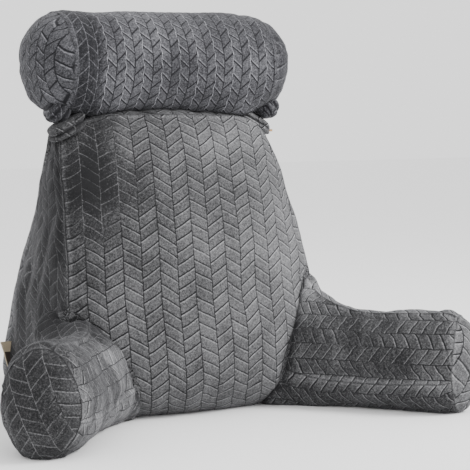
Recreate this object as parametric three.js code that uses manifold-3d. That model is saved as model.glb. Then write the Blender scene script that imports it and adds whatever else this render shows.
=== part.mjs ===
// A reading pillow: a filled wedge to lean on, two splayed arms, and a neck roll tied on top.
// Millimetres, +Z up, the sitter's side faces -Y. The pillow stands on z = 0.
//
// Each padded piece starts as a box from -1 to 1 whose faces are its cloth panels and whose
// edges are its seams. A formula then moves the box's vertices to the filled shape.
import * as THREE from 'three';
import { mergeVertices } from 'three/addons/utils/BufferGeometryUtils.js';
import Module from 'manifold-3d';

const wasm = await Module();
wasm.setup();

// Clearance that every piece keeps from its neighbours.
const GAP = 1.3;

// The wedge, from its own front and back seams to the crown of each panel.
const BACK_HEIGHT = 490;      // height of the top edge
const HALF_WIDTH_TOP = 196;
const HALF_WIDTH_ARM = 228;   // half the width where the arms' tops meet the wedge
const HALF_WIDTH_BASE = 222;
const ARM_LEVEL = 190;        // height of that meeting
const NARROWING = 1.2;        // power by which the width shrinks above it
const FRONT_TOP = 34;         // front seam ahead of the ridge, at the top edge
const FRONT_LEAN = 184;       // how much further forward it would be at the base
const FRONT_LIMIT = 165;      // where the seam stops coming forward
const BACK_TOP = 4;
const BACK_LEAN = 162;
const BACK_DRAW = 14;         // how far the rear seams are drawn in at mid-height
const FRONT_CROWN = 57;
const BACK_CROWN = 10;
const SIDE_CROWN = 4;
const TOP_CROWN = 6;
const CROWN_FALL = 1.6;       // how fast the crown fades above and below mid-height
const SHOULDER_DROP = 30;     // how far the top corners are drawn down
const SHOULDER_INWARD = 5;    // powers that keep that drop to the outer and upper part
const SHOULDER_UPWARD = 8;
const ROUND_UNDER = 60;       // height over which the base edges roll under
const FRONT_UNDER = 45;
const BACK_UNDER = 18;
const SIDE_UNDER = 18;

// The arms: round-cornered bolsters that leave the wedge's front corners.
const ARM_LENGTH = 330;       // from the root's reference point to the tip
const ARM_BURIED = 130;       // length behind that point, before the wedge cuts it away
const ARM_CAP = 58;           // length of the rounded tip
const ARM_TIP_FROM = 0.55;    // where the tip begins along the blank box, from -1 to 1
const ARM_CORNER = 2.7;       // power of the rounded-square section, and of the tip's turn
const ARM_SPLAY = 39;         // degrees from straight ahead
const ARM_ROOT_X = 186;
const ARM_ROOT_Y = -129;
const ARM_HALF_THICK = 62;
const ARM_HALF_HEIGHT = 89;
const ARM_SUNK = 9;           // how much of the section the floor flattens
const ARM_TWIST = 28;         // degrees that the panels are rolled outward
const ARM_WAIST = 0.05;       // share of its height that the arm loses at its waist
const WAIST_START = 0.45;     // share of the length at which the height begins to recover
const ARM_FLARE = 130;        // length over which the root widens to meet the wedge
const FLARE_THICK = 14;
const FLARE_HEIGHT = 29;
const FLARE_LEAN = 0.4;       // outward slope of the widened root's section
const LEAN_HEIGHT = 80;       // height at which that slope starts from

// The neck roll, along X, lying on the wedge's top edge.
const ROLL_HALF = 238;
const ROLL_RADIUS = 87;
const ROLL_HEIGHT = 575;
const ROLL_CAP = 92;          // length of each domed end
const ROLL_TIP_FROM = 0.6;
const ROLL_CORNER = 2;        // a round section
const ROLL_TIP_CORNER = 2.8;

// Bunched cloth at the roll's lower ends, and the straps below it. Half sizes, and turns in radians.
const TAIL = { size: [19, 24, 21], centre: [205, -30, 501], turn: [0, 0.5, 0], folds: 5, depth: 0.08 };
const STRAP = { size: [36, 28, 16], centre: [178, -30, 477], turn: [0.2, 0.5, 0], folds: 3, depth: 0.06 };

// Flat cloth tabs: a label in the rear left seam, and the cut end of a tape by the right strap.
const LABEL = { width: 22, thick: 2.4, height: 64, centre: [-231, 109, 70], turn: 0.35 };
const TAPE = { width: 19, thick: 1.4, height: 4, centre: [211, -20, 461], turn: 0.1 };

const clamp01 = (v) => Math.min(1, Math.max(0, v));
const mix = (a, b, t) => a + (b - a) * t;
const smooth = (t) => t * t * (3 - 2 * t);
const limited = (v, most) => v / (1 + (v / most) ** 6) ** (1 / 6);

// A closed box from -1 to 1, its faces split into a grid, with shared vertices.
function blankBox(nx, ny, nz) {
  const box = new THREE.BoxGeometry(2, 2, 2, nx, ny, nz);
  box.deleteAttribute('normal');
  box.deleteAttribute('uv');
  return mergeVertices(box, 1e-4);
}

function shaped(geometry, formula) {
  const places = geometry.getAttribute('position');
  const v = new THREE.Vector3();
  for (let i = 0; i < places.count; i++) {
    v.fromBufferAttribute(places, i);
    formula(v);
    places.setXYZ(i, v.x, v.y, v.z);
  }
  return geometry;
}

// The same shape on the other side of the pillow, with its faces turned out again.
function mirrored(geometry) {
  const copy = shaped(geometry.clone(), (v) => v.setX(-v.x));
  const index = copy.getIndex();
  for (let i = 0; i < index.count; i += 3) {
    const second = index.getX(i + 1);
    index.setX(i + 1, index.getX(i + 2));
    index.setX(i + 2, second);
  }
  return copy;
}

// The same shape, grown by a distance along its own normals.
function grown(geometry, distance) {
  const copy = geometry.clone();
  copy.computeVertexNormals();
  const places = copy.getAttribute('position');
  const normals = copy.getAttribute('normal');
  for (let i = 0; i < places.count; i++) {
    places.setXYZ(
      i,
      places.getX(i) + distance * normals.getX(i),
      places.getY(i) + distance * normals.getY(i),
      places.getZ(i) + distance * normals.getZ(i),
    );
  }
  return copy;
}

function toSolid(geometry) {
  const vertProperties = new Float32Array(geometry.getAttribute('position').array);
  const triVerts = new Uint32Array(geometry.getIndex().array);
  return new wasm.Manifold(new wasm.Mesh({ numProp: 3, vertProperties, triVerts }));
}

// A piece with its neighbours, each grown by the clearance, cut away from it.
function clearOf(geometry, ...neighbours) {
  let solid = toSolid(geometry);
  for (const other of neighbours) {
    solid = solid.subtract(toSolid(grown(other, GAP)));
  }
  const mesh = solid.getMesh();
  const cut = new THREE.BufferGeometry();
  cut.setAttribute('position', new THREE.BufferAttribute(mesh.vertProperties, 3));
  cut.setIndex(new THREE.BufferAttribute(mesh.triVerts, 1));
  return cut;
}

function halfWidth(z) {
  if (z > ARM_LEVEL) {
    const rise = (z - ARM_LEVEL) / (BACK_HEIGHT - ARM_LEVEL);
    return mix(HALF_WIDTH_ARM, HALF_WIDTH_TOP, rise ** NARROWING);
  }
  return mix(HALF_WIDTH_BASE, HALF_WIDTH_ARM, smooth(z / ARM_LEVEL));
}

// The wedge: front and back seams lean together towards the top, every panel is crowned,
// and the base edges roll under to a flat base.
function wedgePoint(v) {
  const { x: across, y: through, z: up } = v;
  const h = (up + 1) / 2;
  const z = BACK_HEIGHT * h;
  const belly = (1 - CROWN_FALL * (h - 0.5) ** 2) * (1 - across ** 2);
  const frontSeam = -limited(FRONT_TOP + FRONT_LEAN * (1 - h), FRONT_LIMIT);
  const backSeam = BACK_TOP + BACK_LEAN * (1 - h);
  const under = (1 - clamp01(z / ROUND_UNDER)) ** 2;
  const front = frontSeam - FRONT_CROWN * belly + FRONT_UNDER * under;
  const back = backSeam + BACK_CROWN * belly - BACK_UNDER * under;
  const sideCrown = SIDE_CROWN * (1 - through ** 2) * (1 - up ** 2);
  const topCrown = up === 1 ? TOP_CROWN * (1 - through ** 2) * (1 - across ** 2) : 0;
  const drawnIn = BACK_DRAW * (4 * h * (1 - h)) ** 2 * (through + 1) / 2;
  v.x = across * (halfWidth(z) - SIDE_UNDER * under + sideCrown - drawnIn);
  v.y = mix(front, back, (through + 1) / 2);
  v.z = z + topCrown - SHOULDER_DROP * Math.abs(across) ** SHOULDER_INWARD * h ** SHOULDER_UPWARD;
}

// Places a box point on a bolster: round-cornered sections along its length, and a rounded
// tip that begins where the box's length coordinate passes tipFrom.
function bolster(along, side, up, { start, tip, cap, tipFrom, corner, tipCorner }) {
  const m = Math.max(Math.abs(side), Math.abs(up));
  const norm = (Math.abs(side) ** corner + Math.abs(up) ** corner) ** (1 / corner) || 1;
  const reach = clamp01((along - tipFrom) / (1 - tipFrom));
  const tipNorm = (reach ** tipCorner + m ** tipCorner) ** (1 / tipCorner) || 1;
  const onTip = Math.max(reach, m) / tipNorm;
  const s = along > tipFrom
    ? tip - cap + cap * reach * onTip
    : mix(start, tip - cap, (along + 1) / (tipFrom + 1));
  const size = along > tipFrom ? m * onTip : m;
  return { s, side: (side / norm) * size, up: (up / norm) * size };
}

// The right arm: its section's corners, the seams, are rolled outward by ARM_TWIST.
function armPoint(v) {
  const at = bolster(v.x, v.y, v.z, {
    start: -ARM_BURIED, tip: ARM_LENGTH, cap: ARM_CAP, tipFrom: ARM_TIP_FROM,
    corner: ARM_CORNER, tipCorner: ARM_CORNER,
  });
  const twist = THREE.MathUtils.degToRad(ARM_TWIST);
  const splay = THREE.MathUtils.degToRad(ARM_SPLAY);
  const side = at.side * Math.cos(twist) + at.up * Math.sin(twist);
  const up = at.up * Math.cos(twist) - at.side * Math.sin(twist);
  const past = clamp01(at.s / ARM_LENGTH - WAIST_START);
  const waist = 1 - ARM_WAIST * (1 + Math.cos(2 * Math.PI * past));
  const flare = (1 - clamp01(at.s / ARM_FLARE)) ** 2;
  const halfHeight = ARM_HALF_HEIGHT * waist + FLARE_HEIGHT * flare;
  const z = halfHeight * (1 + up) - ARM_SUNK;
  const lean = FLARE_LEAN * flare * (z - LEAN_HEIGHT);
  const t = (ARM_HALF_THICK + FLARE_THICK * flare) * side + lean;
  v.x = ARM_ROOT_X + at.s * Math.sin(splay) + t * Math.cos(splay);
  v.y = ARM_ROOT_Y - at.s * Math.cos(splay) + t * Math.sin(splay);
  v.z = Math.max(0, z);
}

// The roll: both ends are domed, and between them its points are spaced evenly.
function rollPoint(v) {
  const out = Math.abs(v.x);
  const wall = ROLL_HALF - ROLL_CAP;
  const at = bolster(out, v.y, v.z, {
    start: -wall, tip: ROLL_HALF, cap: ROLL_CAP, tipFrom: ROLL_TIP_FROM,
    corner: ROLL_CORNER, tipCorner: ROLL_TIP_CORNER,
  });
  v.x = Math.sign(v.x) * (out > ROLL_TIP_FROM ? at.s : wall * out / ROLL_TIP_FROM);
  v.y = ROLL_RADIUS * at.side;
  v.z = ROLL_HEIGHT + ROLL_RADIUS * at.up;
}

// A lump of folded cloth: a rounded box, turned about X and Y, with shallow folds round it.
function foldedLump({ size, centre, turn, folds, depth }) {
  const turned = new THREE.Matrix4().makeRotationFromEuler(new THREE.Euler(...turn));
  return shaped(blankBox(6, 4, 4), (v) => {
    const { x, y, z } = v;
    const norm = (Math.abs(x) ** 3 + Math.abs(y) ** 3 + Math.abs(z) ** 3) ** (1 / 3);
    const around = Math.atan2(z, y);
    const fold = 1 + depth * Math.cos(folds * around + 2 * x);
    v.set((x / norm) * size[0], (y / norm) * size[1] * fold, (z / norm) * size[2] * fold);
    v.applyMatrix4(turned);
    v.add(new THREE.Vector3(...centre));
  });
}

// A flat tab with rounded edges, its width along X before it is turned about Z.
function tab({ width, thick, height, centre, turn }) {
  const turned = new THREE.Matrix4().makeRotationZ(turn);
  return shaped(blankBox(2, 1, 4), (v) => {
    v.set(v.x * width / 2, v.y * thick / 2, v.z * height / 2);
    v.applyMatrix4(turned);
    v.add(new THREE.Vector3(...centre));
  });
}

const plush = new THREE.MeshStandardMaterial({ color: 0x6a6a6c, roughness: 0.95, metalness: 0 });
const rollPlush = new THREE.MeshStandardMaterial({ color: 0x626266, roughness: 0.95, metalness: 0 });
const labelCloth = new THREE.MeshStandardMaterial({ color: 0x3a2c22, roughness: 0.8, metalness: 0 });
const tapeCloth = new THREE.MeshStandardMaterial({ color: 0xc79a6b, roughness: 0.8, metalness: 0 });

const wedge = shaped(blankBox(18, 5, 20), wedgePoint);
const rollBlank = shaped(blankBox(20, 8, 8), rollPoint);
const roll = clearOf(rollBlank, wedge);
const armBlank = shaped(blankBox(14, 6, 6), armPoint);
const armRight = clearOf(armBlank, wedge);
const armLeft = clearOf(mirrored(armBlank), wedge);
const tailBlank = foldedLump(TAIL);
const tailRight = clearOf(tailBlank, rollBlank, wedge);
const tailLeft = clearOf(mirrored(tailBlank), rollBlank, wedge);
const strapBlank = foldedLump(STRAP);
const strapRight = clearOf(strapBlank, rollBlank, wedge, tailBlank);
const strapLeft = clearOf(mirrored(strapBlank), rollBlank, wedge, mirrored(tailBlank));
const label = clearOf(tab(LABEL), wedge);
const tape = clearOf(tab(TAPE), wedge, strapBlank);

const part = new THREE.Group();

function addPiece(name, geometry, material) {
  geometry.computeVertexNormals();
  const mesh = new THREE.Mesh(geometry, material);
  mesh.name = name;
  part.add(mesh);
}

addPiece('back_cushion', wedge, plush);
addPiece('arm_right', armRight, plush);
addPiece('arm_left', armLeft, plush);
addPiece('neck_roll', roll, rollPlush);
addPiece('roll_tail_right', tailRight, rollPlush);
addPiece('roll_tail_left', tailLeft, rollPlush);
addPiece('strap_right', strapRight, plush);
addPiece('strap_left', strapLeft, plush);
addPiece('side_label', label, labelCloth);
addPiece('tape_end', tape, tapeCloth);

// The origin is the middle of the footprint's bounding box, at floor height.
const reach = new THREE.Box3().setFromObject(part);
part.position.y = -(reach.min.y + reach.max.y) / 2;

export default part;
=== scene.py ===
# %% [markdown]
# # Reading pillow with arms and a neck roll
#
# A bed-rest pillow: a leaning back cushion, two arms that splay forwards, and a round neck roll strapped on
# top. Everything is sewn from grey embossed plush and stuffed hard. This notebook dresses the imported frame:
# every cushion is rebuilt as its own closed cloth form in the place of its plain solid, then gets its plush.
#
# First the frame is loaded, and its plain parts are kept, so that their sizes can be read.

# %% Load the frame
import math
import bmesh
import bpy
import numpy as np
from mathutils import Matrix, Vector
from mathutils.bvhtree import BVHTree


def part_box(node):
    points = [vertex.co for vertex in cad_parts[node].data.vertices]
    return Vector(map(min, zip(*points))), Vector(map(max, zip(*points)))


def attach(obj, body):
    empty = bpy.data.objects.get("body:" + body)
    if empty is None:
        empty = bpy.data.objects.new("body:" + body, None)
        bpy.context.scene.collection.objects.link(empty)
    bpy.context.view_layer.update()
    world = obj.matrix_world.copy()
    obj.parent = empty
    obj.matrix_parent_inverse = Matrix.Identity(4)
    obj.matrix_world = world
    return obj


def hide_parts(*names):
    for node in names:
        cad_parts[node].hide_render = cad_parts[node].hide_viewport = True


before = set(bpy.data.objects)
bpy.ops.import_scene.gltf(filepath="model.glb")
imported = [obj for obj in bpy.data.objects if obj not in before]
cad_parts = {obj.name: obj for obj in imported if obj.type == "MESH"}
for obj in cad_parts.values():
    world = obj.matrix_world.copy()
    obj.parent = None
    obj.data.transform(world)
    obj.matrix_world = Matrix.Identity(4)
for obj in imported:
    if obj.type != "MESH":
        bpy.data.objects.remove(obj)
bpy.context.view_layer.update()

# %% [markdown]
# ## Camera, floor and light
#
# The pillow is seen from the front and a little from its left hand, from just above its own middle, with a
# long lens. It stands on a plain pale floor that fades into the room. One broad soft light hangs above and
# in front, and a weaker one fills in from the other side.

# %% Camera
VIEW_TURN = math.radians(-30.0)     # round the pillow from straight in front
VIEW_RISE = math.radians(4.9)
VIEW_DISTANCE = 3.0
VIEW_AIM = Vector((0.118, 0.0595, 0.283))
LENS = 133.3

away = Vector((math.sin(VIEW_TURN) * math.cos(VIEW_RISE), -math.cos(VIEW_TURN) * math.cos(VIEW_RISE),
               math.sin(VIEW_RISE)))
camera = bpy.data.objects.new("camera", bpy.data.cameras.new("camera"))
camera.data.lens = LENS
camera.location = VIEW_AIM + VIEW_DISTANCE * away
camera.rotation_euler = (-away).to_track_quat("-Z", "Y").to_euler()
bpy.context.scene.collection.objects.link(camera)
bpy.context.scene.camera = camera
print("camera at", [round(v, 3) for v in camera.location])


# %% Floor, room and lights
def plain_material(name, colour, rough):
    material = bpy.data.materials.new(name)
    material.use_nodes = True
    shader = material.node_tree.nodes["Principled BSDF"]
    shader.inputs["Base Color"].default_value = (*colour, 1)
    shader.inputs["Roughness"].default_value = rough
    return material


def lamp(name, place, aim, size, watts):
    """A square soft lamp at place that points at aim."""
    data = bpy.data.lights.new(name, "AREA")
    data.shape, data.size, data.energy = "SQUARE", size, watts
    made = bpy.data.objects.new(name, data)
    made.location = place
    made.rotation_euler = (Vector(aim) - Vector(place)).to_track_quat("-Z", "Y").to_euler()
    bpy.context.scene.collection.objects.link(made)


FLOOR_HALF, FLOOR_LEVEL = 8, -0.0005     # just under the pillow's flat base, so the two never fight
corners = [(x * FLOOR_HALF, y * FLOOR_HALF, FLOOR_LEVEL) for x, y in ((-1, -1), (1, -1), (1, 1), (-1, 1))]
floor_mesh = bpy.data.meshes.new("floor")
floor_mesh.from_pydata(corners, [], [(0, 1, 2, 3)])
floor = bpy.data.objects.new("floor", floor_mesh)
bpy.context.scene.collection.objects.link(floor)
floor.data.materials.append(plain_material("pale_floor", (0.93, 0.93, 0.93), 0.9))

room = bpy.data.worlds.new("room")
room.use_nodes = True
ROOM_BRIGHTNESS = 1.6
room.node_tree.nodes["Background"].inputs["Color"].default_value = (1, 1, 1, 1)
room.node_tree.nodes["Background"].inputs["Strength"].default_value = ROOM_BRIGHTNESS
bpy.context.scene.world = room
LAMP_AIM = (0, 0, 0.3)
lamp("key_lamp", (1.9, -1.5, 2.1), LAMP_AIM, size=1.0, watts=100)
lamp("fill_lamp", (-1.6, -1.2, 2.2), LAMP_AIM, size=1.4, watts=10)
print("a floor, a room and two lamps")

# %% [markdown]
# ## How a cushion is laid out
#
# A sewn cushion has flat panels joined at seams. Each cushion here starts as the outside of a box of sample
# values, so its six sides are its six panels and its edges are its seams. A formula then carries each point
# of the box to its place on the real cushion. Because neighbouring panels share their seam points, the skin
# is closed. Every panel also keeps its own cloth coordinates, in metres, like the flat cut before sewing.


# %% The box of panels
class Panels:
    """The outside of a box with sample values a, b and c, each from -1 to 1.

    box holds one row (a, b, c) per point, sides the point numbers of each panel as a grid, and quads the
    faces, which all look outwards.
    """

    def __init__(self, a, b, c):
        self.values = [np.asarray(v, float) for v in (a, b, c)]
        shape = tuple(len(v) for v in self.values)
        skin = np.ones(shape, bool)
        skin[1:-1, 1:-1, 1:-1] = False
        number = np.full(shape, -1)
        number[skin] = np.arange(skin.sum())
        self.box = np.stack([v[i] for v, i in zip(self.values, np.nonzero(skin))], 1)
        self.sides = {(axis, end): number.take(0 if end < 0 else -1, axis) for axis in range(3)
                      for end in (-1, 1)}
        quads, owner = [], []
        for axis, end in self.sides:
            grid = self.sides[axis, end]
            four = np.stack([grid[:-1, :-1], grid[1:, :-1], grid[1:, 1:], grid[:-1, 1:]], -1).reshape(-1, 4)
            outward = end if axis != 1 else -end
            quads.append(four if outward > 0 else four[:, ::-1])
            owner += [(axis, end)] * len(four)
        self.quads = np.concatenate(quads)
        self.owner = owner

    def spread(self, field, finer):
        """Carries values from these points to a finer Panels, blending straight between them in a panel."""
        result = np.zeros((len(finer.box), field.shape[1]))
        for (axis, end), grid in self.sides.items():
            first, second = (v for n, v in enumerate(self.values) if n != axis)
            to = finer.sides[axis, end]
            p, q = (v for n, v in enumerate(finer.values) if n != axis)
            i = np.clip(np.searchsorted(first, p, "right") - 1, 0, len(first) - 2)
            j = np.clip(np.searchsorted(second, q, "right") - 1, 0, len(second) - 2)
            s = ((p - first[i]) / (first[i + 1] - first[i]))[:, None, None]
            t = ((q - second[j]) / (second[j + 1] - second[j]))[None, :, None]
            at = lambda m, n: field[grid[np.ix_(m, n)]]
            result[to] = ((1 - s) * ((1 - t) * at(i, j) + t * at(i, j + 1))
                          + s * ((1 - t) * at(i + 1, j) + t * at(i + 1, j + 1)))
        return result


def evenly(count):
    """That many values from -1 to 1, equally far apart."""
    return np.linspace(-1, 1, count)


def side_by_side(quads):
    """Each pair of points that an edge joins, once."""
    pairs = np.concatenate([quads[:, [k, (k + 1) % 4]] for k in range(4)])
    return np.unique(np.sort(pairs, 1), axis=0)


def smoothed(field, quads, times):
    """Each point's value moves halfway to the mean of its neighbours, times over."""
    pairs = side_by_side(quads)
    n = len(field)
    count = np.bincount(pairs.ravel(), minlength=n)[:, None]
    for _ in range(times):
        total = np.stack([np.bincount(pairs[:, 0], field[pairs[:, 1], k], n)
                          + np.bincount(pairs[:, 1], field[pairs[:, 0], k], n)
                          for k in range(field.shape[1])], 1)
        field = 0.5 * field + 0.5 * total / count
    return field


def outward(points, quads):
    """The direction each point faces: the sum of its faces' cross products, made one long."""
    p = points[quads]
    face = np.cross(p[:, 2] - p[:, 0], p[:, 3] - p[:, 1])
    total = np.stack([np.bincount(quads.ravel(), np.repeat(face[:, k], 4), len(points))
                      for k in range(3)], 1)
    return total / np.maximum(np.linalg.norm(total, axis=1, keepdims=True), 1e-12)


WANDER_CELLS = 32      # the random grid repeats after this many cells


def wander(points, size, seed):
    """Smooth random values from -1 to 1: random numbers on a grid of that size, blended by 3t^2 - 2t^3."""
    n = WANDER_CELLS
    table = np.random.default_rng(seed).uniform(-1, 1, (n, n, n))
    q = points / size
    cell = np.floor(q).astype(int)
    t = q - cell
    t = t * t * (3 - 2 * t)
    total = 0
    for i in (0, 1):
        for j in (0, 1):
            for k in (0, 1):
                share = (t[:, 0] if i else 1 - t[:, 0]) * (t[:, 1] if j else 1 - t[:, 1]) \
                    * (t[:, 2] if k else 1 - t[:, 2])
                total = total + share * table[(cell[:, 0] + i) % n, (cell[:, 1] + j) % n,
                                              (cell[:, 2] + k) % n]
    return total


def step(t):
    """0 below 0, 1 above 1, and 3t^2 - 2t^3 between."""
    t = np.clip(t, 0, 1)
    return t * t * (3 - 2 * t)


def crease(points, start, end, width, depth):
    """A sewn-in or pressed-in trough from start to end: deep along the line, with a low lip at each side.

    With d the distance from the line, the depth is depth * (exp(-(d/w)^2) - 0.4 exp(-(d/2w)^2)).
    """
    start, end = np.array(start), np.array(end)
    along = end - start
    t = np.clip((points - start) @ along / (along @ along), 0, 1)
    d = np.linalg.norm(points - start - t[:, None] * along, axis=1) / width
    return -depth * (np.exp(-d ** 2) - 0.4 * np.exp(-(d / 2) ** 2))


def gathers(points, sizes, seed):
    """Sharp-bottomed folds: the size of a wandering value and of a finer one, each stretched by sizes."""
    wide = np.abs(wander(points / np.array(sizes), 1.0, seed))
    narrow = np.abs(wander(points / np.array(sizes) * 2.3, 1.0, seed + 1))
    return 0.7 * wide + 0.3 * narrow - 0.3


def dark_patches(points, size, seed):
    """1 where the pile lies dark and 0 where it lies light: a wandering value and a finer one, made steep."""
    return step(0.5 + 0.9 * wander(points, size, seed) + 0.5 * wander(points, 0.03, seed + 1))


def seam_pinch(seam):
    """How a seam shapes the skin, against the distance from it: a narrow raised edge, then a broader dip."""
    return np.exp(-(seam / 0.0025) ** 2) - 1.1 * np.exp(-((seam - 0.008) / 0.006) ** 2)


print("panels and folds ready")

# %% [markdown]
# ## Blowing the cushions up
#
# Stuffing presses the cloth outwards, and the seams hold it back, so a panel swells between its seams and
# wrinkles beside them. A coarse copy of each cushion is run as real cloth under inside pressure, held at
# its seams, with cloth that is a few per cent too large for it. How far each point moved is then carried
# over to the fine cushion.


# %% The cloth run
CLOTH_FRAMES = 20
CLOTH_STIFFNESS, CLOTH_BENDING, CLOTH_MASS = 20, 0.6, 0.25
STUFFING_PRESSURE = 4


def blown_up(name, panels, points, held, spare, cap):
    """How far the stuffing moves each point. held is 1 where a seam holds the cloth, spare the extra cloth.

    A move m becomes m / (1 + |m| / cap), so none is longer than cap.
    """
    mesh = bpy.data.meshes.new(name)
    mesh.from_pydata(points.tolist(), [], panels.quads.tolist())
    cloth = bpy.data.objects.new(name, mesh)
    bpy.context.scene.collection.objects.link(cloth)
    group = cloth.vertex_groups.new(name="held")
    for level in np.unique(np.round(held, 1)):
        group.add(np.nonzero(np.round(held, 1) == level)[0].tolist(), float(level), "REPLACE")
    run = cloth.modifiers.new("cloth", "CLOTH")
    run.settings.quality = 6
    run.settings.mass = CLOTH_MASS
    run.settings.tension_stiffness = CLOTH_STIFFNESS
    run.settings.compression_stiffness = CLOTH_STIFFNESS
    run.settings.bending_stiffness = CLOTH_BENDING
    run.settings.use_pressure = True
    run.settings.uniform_pressure_force = STUFFING_PRESSURE
    run.settings.shrink_min = -spare
    run.settings.vertex_group_mass = "held"
    run.settings.pin_stiffness = 1
    run.settings.effector_weights.gravity = 0
    run.point_cache.frame_start, run.point_cache.frame_end = 1, CLOTH_FRAMES
    for number in range(1, CLOTH_FRAMES + 1):
        bpy.context.scene.frame_set(number)
    done = cloth.evaluated_get(bpy.context.evaluated_depsgraph_get()).to_mesh()
    after = np.empty(len(points) * 3, np.float32)
    done.vertices.foreach_get("co", after)
    moved = after.reshape(-1, 3).astype(float) - points
    bpy.data.objects.remove(cloth)
    bpy.context.scene.frame_set(1)
    length = np.linalg.norm(moved, axis=1, keepdims=True)
    print(f"{name}: the stuffing moves the cloth {length.mean() * 1000:.1f} mm, at most"
          f" {length.max() * 1000:.1f} mm before the cap")
    return moved / (1 + length / cap)


# %% [markdown]
# ## The embossed plush
#
# The plush has a herringbone pressed into it: upright columns of slanted puffs, leaning one way in one
# column and the other way in the next, and half a puff out of step at each column's edge. The same formula
# shapes the skin, as soft puffs, and later the material, as the narrow pressed lines between them.

# %% The herringbone
COLUMN, PITCH, RISE = 0.030, 0.0205, 0.0180     # body cloth: column width, puff spacing, slant
ROLL_COLUMN, ROLL_RISE = 0.0168, 0.0145         # finer cloth of the roll
PUFF_MEAN = 0.45                                # lifted by this much less, the skin keeps its mean size
SEAM_FLAT, SEAM_REACH = 0.005, 0.04             # the puffs fade out by a seam; longer distances are cut


def puffs(u, v, column, pitch, rise):
    """1 in the middle of each puff and 0 in the pressed lines.

    Column number k holds its puffs at v = pitch * (n + k/2) + slant * (distance across the column).
    """
    k = np.floor(u / column)
    across = u / column - k - 0.5
    odd = k % 2
    phase = (v - (1 - 2 * odd) * rise * across) / pitch - 0.5 * odd
    along = np.abs((phase + 0.5) % 1 - 0.5)
    return np.sqrt(np.clip(np.sin(np.pi * along), 0, 1) * np.clip(np.cos(np.pi * across), 0, 1))


def finished(panels, points, cloth, relief, column, pitch, rise, ends_only=False):
    """Presses the pattern into a cushion's skin.

    cloth gives a panel's points their cloth coordinates (u, v), and relief is the puffs' height. Gives the
    moved points, their distance from the nearest seam, and the cloth coordinates. With ends_only, the only
    seams are those round the two end panels.
    """
    facing = outward(points, panels.quads)
    lift = np.zeros(len(points))
    seam = np.full(len(points), SEAM_REACH)
    flat = {}
    for side, grid in panels.sides.items():
        p = points[grid]
        rows = np.concatenate([np.zeros((1, p.shape[1])),
                               np.cumsum(np.linalg.norm(np.diff(p, axis=0), axis=2), 0)])
        lines = np.concatenate([np.zeros((p.shape[0], 1)),
                                np.cumsum(np.linalg.norm(np.diff(p, axis=1), axis=2), 1)], 1)
        edge = np.minimum(rows, rows[-1:] - rows)
        if side[0] == 0 or not ends_only:
            edge = np.minimum(edge, np.minimum(lines, lines[:, -1:] - lines))
        u, v = cloth(side, p, rows, lines)
        flat[side] = np.stack([u, v], -1)
        lift[grid] = relief * (puffs(u, v, column, pitch, rise) - PUFF_MEAN) * step(edge / SEAM_FLAT)
        seam[grid] = np.minimum(seam[grid], edge)
    points = points + facing * lift[:, None]
    return points, seam, flat


def cushion(name, panels, points, seam, flat, nap_and_shade, node):
    """Makes the object from its points, with its cloth coordinates, the seam attribute, and an attribute that
    holds the pile's dark patches together with the painted light and shade.
    """
    mesh = bpy.data.meshes.new(name)
    mesh.from_pydata(points.tolist(), [], panels.quads.tolist())
    uv = np.zeros((len(panels.quads), 4, 2))
    owner = np.array([axis * 2 + (end > 0) for axis, end in panels.owner])
    whole = np.zeros((len(points), 2))
    for side, grid in panels.sides.items():
        whole[grid] = flat[side]
        mine = owner == side[0] * 2 + (side[1] > 0)
        uv[mine] = whole[panels.quads[mine]]
    mesh.uv_layers.new(name="cloth").data.foreach_set("uv", uv.ravel())
    # The second attribute holds the pile's dark patches together with each cushion's painted light and shade.
    for label, values in (("seam", seam), ("nap_and_shade", nap_and_shade)):
        mesh.attributes.new(label, "FLOAT", "POINT").data.foreach_set("value", values.astype(np.float32))
    made = bpy.data.objects.new(name, mesh)
    bpy.context.scene.collection.objects.link(made)
    weld(made)
    mesh.polygons.foreach_set("use_smooth", np.ones(len(mesh.polygons), bool))
    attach(made, "root")
    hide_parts(node)
    print(f"{name}: {sum(len(f.vertices) - 2 for f in mesh.polygons)} triangles")
    return made


def weld(made, distance=0.00015):
    """Joins points that lie on each other, where a skin has been pushed flat."""
    work = bmesh.new()
    work.from_mesh(made.data)
    bmesh.ops.remove_doubles(work, verts=work.verts, dist=distance)
    bmesh.ops.dissolve_degenerate(work, edges=work.edges, dist=distance / 4)
    work.to_mesh(made.data)
    work.free()


def skin_of(made):
    """A search tree of an object's faces, for finding where a neighbour meets it."""
    mesh = made.data
    return BVHTree.FromPolygons([v.co for v in mesh.vertices], [tuple(f.vertices) for f in mesh.polygons])


def ahead(points, skin, toward, back=0.5, look=0.06):
    """How far each point can still go towards a neighbour's skin; less than 0 if it has gone through it."""
    toward = Vector(toward)
    far = [skin.ray_cast(Vector(p) - back * toward, toward, back + look)[3] for p in points]
    return np.array([look if d is None else d - back for d in far])


print("herringbone ready")

# %% [markdown]
# ## The back cushion
#
# On the real pillow this is one big stuffed case with a front panel, a back panel and a long gusset between
# them. The front leans back, is full in the middle, and rolls under at the floor. The gusset is cut a
# little long, so it wrinkles. The formulas are close to the plain solid's, in metres, with a little more
# lean and draw, so that the skin lies just on it.

# %% Shape of the back cushion
RIDGE_Y = sum(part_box("neck_roll")[k][1] for k in (0, 1)) / 2      # the pillow's upper edge lies here
BACK_HEIGHT, ARM_LEVEL = 0.490, 0.190
HALF_WIDTH_TOP, HALF_WIDTH_ARM, HALF_WIDTH_BASE = 0.196, 0.228, 0.222
FRONT_TOP, FRONT_LEAN, FRONT_LIMIT = 0.034, 0.184, 0.165
BACK_TOP, BACK_LEAN, BACK_DRAW = 0.004, 0.168, 0.016
FRONT_CROWN, BACK_CROWN, SIDE_CROWN, TOP_CROWN = 0.057, 0.010, 0.004, 0.006
SHOULDER_DROP, ROUND_UNDER = 0.030, 0.060
NARROWING, CROWN_FALL = 1.2, 1.6
FRONT_UNDER, BACK_UNDER, SIDE_UNDER = 0.045, 0.018, 0.018


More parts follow.
